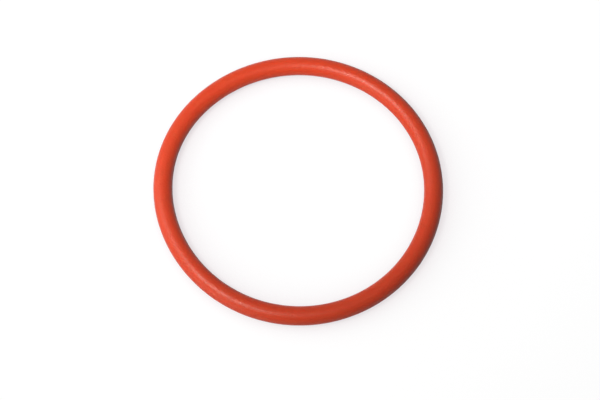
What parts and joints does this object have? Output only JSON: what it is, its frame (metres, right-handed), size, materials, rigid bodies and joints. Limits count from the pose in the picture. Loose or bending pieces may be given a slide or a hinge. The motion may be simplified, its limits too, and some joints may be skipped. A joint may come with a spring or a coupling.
{
  "type": "o-ring",
  "caption": "Round silicone o-ring with a round section, moulded in one piece. It sits squeezed in a groove and seals a joint around a bore, a spigot or a flange.",
  "frame": {"origin": "centre of the ring: on its axis, in the mould's parting plane, halfway up the section", "axes": "+Z along the ring's axis, up from the surface that the ring lies on; X and Y lie across the ring and are alike"},
  "size_m": [0.0544, 0.0544, 0.0036],
  "materials": {
    "silicone": "matt oxide-red silicone rubber, as moulded"
  },
  "bodies": {
    "root": {"o_ring": "silicone"}
  },
  "joints": []
}
